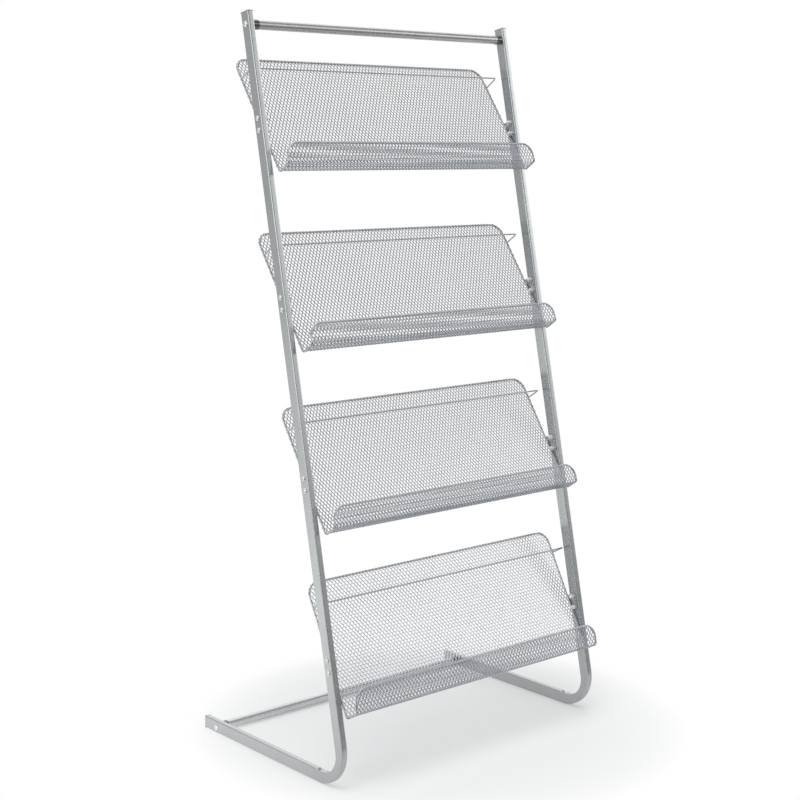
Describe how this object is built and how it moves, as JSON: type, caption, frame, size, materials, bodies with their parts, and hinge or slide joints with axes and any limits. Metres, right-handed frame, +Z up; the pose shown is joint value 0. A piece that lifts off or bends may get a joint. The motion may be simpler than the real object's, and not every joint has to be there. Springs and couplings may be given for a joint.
{
  "type": "periodical display rack",
  "caption": "Free-standing leaning rack of expanded-mesh trays bolted between two bent rectangular-tube side frames, for showing magazines face out.",
  "frame": {"origin": "middle of the rack's outline on the floor: halfway across, and halfway between the bottom tray's front and the rear ends of the legs", "axes": "+X to the right seen from the front, +Y to the back, +Z up"},
  "size_m": [0.6922, 0.484, 1.462],
  "materials": {
    "frame_paint": "silver-grey powder coat, satin",
    "bar_paint": "silver-grey paint, glossy",
    "mesh_paint": "silver-grey powder coat on expanded steel mesh",
    "wire_paint": "silver-grey powder coat on round wire, satin",
    "end_cap": "black moulded plastic",
    "bushing": "black moulded plastic, glossy",
    "fastener": "bright zinc plate"
  },
  "bodies": {
    "root": {"left_side_frame": "frame_paint", "right_side_frame": "frame_paint", "left_leg_cap": "end_cap", "left_upright_cap": "end_cap", "right_leg_cap": "end_cap", "right_upright_cap": "end_cap", "top_crossbar": "bar_paint", "top_crossbar_left_bushing": "bushing", "top_crossbar_right_bushing": "bushing", "top_crossbar_screws": "fastener", "rear_crossbar": "bar_paint", "rear_crossbar_left_bushing": "bushing", "rear_crossbar_right_bushing": "bushing", "rear_crossbar_screws": "fastener", "bottom_tray_mesh_panel": "mesh_paint", "bottom_tray_rim_wire": "wire_paint", "bottom_tray_retaining_wire": "wire_paint", "bottom_tray_left_tab": "frame_paint", "bottom_tray_right_tab": "frame_paint", "bottom_tray_bolts": "fastener", "bottom_tray_cap_nuts": "fastener", "lower_middle_tray_mesh_panel": "mesh_paint", "lower_middle_tray_rim_wire": "wire_paint", "lower_middle_tray_retaining_wire": "wire_paint", "lower_middle_tray_left_tab": "frame_paint", "lower_middle_tray_right_tab": "frame_paint", "lower_middle_tray_bolts": "fastener", "lower_middle_tray_cap_nuts": "fastener", "upper_middle_tray_mesh_panel": "mesh_paint", "upper_middle_tray_rim_wire": "wire_paint", "upper_middle_tray_retaining_wire": "wire_paint", "upper_middle_tray_left_tab": "frame_paint", "upper_middle_tray_right_tab": "frame_paint", "upper_middle_tray_bolts": "fastener", "upper_middle_tray_cap_nuts": "fastener", "top_tray_mesh_panel": "mesh_paint", "top_tray_rim_wire": "wire_paint", "top_tray_retaining_wire": "wire_paint", "top_tray_left_tab": "frame_paint", "top_tray_right_tab": "frame_paint", "top_tray_bolts": "fastener", "top_tray_cap_nuts": "fastener"}
  },
  "joints": []
}
